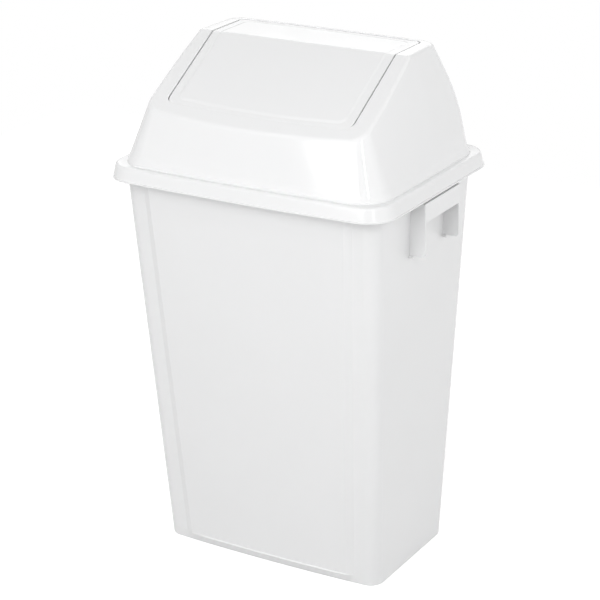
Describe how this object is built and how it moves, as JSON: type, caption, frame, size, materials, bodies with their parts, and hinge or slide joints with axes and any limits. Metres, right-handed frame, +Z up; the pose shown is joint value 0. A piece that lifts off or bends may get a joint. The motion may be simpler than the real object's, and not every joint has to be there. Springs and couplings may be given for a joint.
{
  "type": "swing-top waste bin",
  "caption": "Tall tapered rectangular bin with a flared rim, side grips and a lift-off hood whose sloping flap swings in to take rubbish and closes by its own weight.",
  "frame": {"origin": "middle of the base, on the floor", "axes": "+X along the long side, the sloping flap faces -Y, +Z up"},
  "size_m": [0.4204, 0.3182, 0.703],
  "materials": {
    "tub_plastic": "glossy white moulded plastic",
    "grip_plastic": "glossy white moulded plastic",
    "hood_plastic": "glossy white moulded plastic",
    "flap_plastic": "glossy white moulded plastic",
    "pin_plastic": "satin moulded nylon"
  },
  "bodies": {
    "tub": {"tub": "tub_plastic", "side_handle_left": "grip_plastic", "side_handle_right": "grip_plastic"},
    "hood": {"hood": "hood_plastic"},
    "flap": {"swing_flap": "flap_plastic", "pivot_pin_left": "pin_plastic", "pivot_pin_right": "pin_plastic"}
  },
  "joints": [
    {"name": "hood_lift", "type": "slide", "parent": "tub", "child": "hood", "axis": [0, 0, 1], "range_m": [0, 0.2]},
    {"name": "flap_swing", "type": "hinge", "parent": "hood", "child": "flap", "pos_m": [0, -0.025, 0.67234], "axis": [1, 0, 0], "range_deg": [0, 60]}
  ]
}
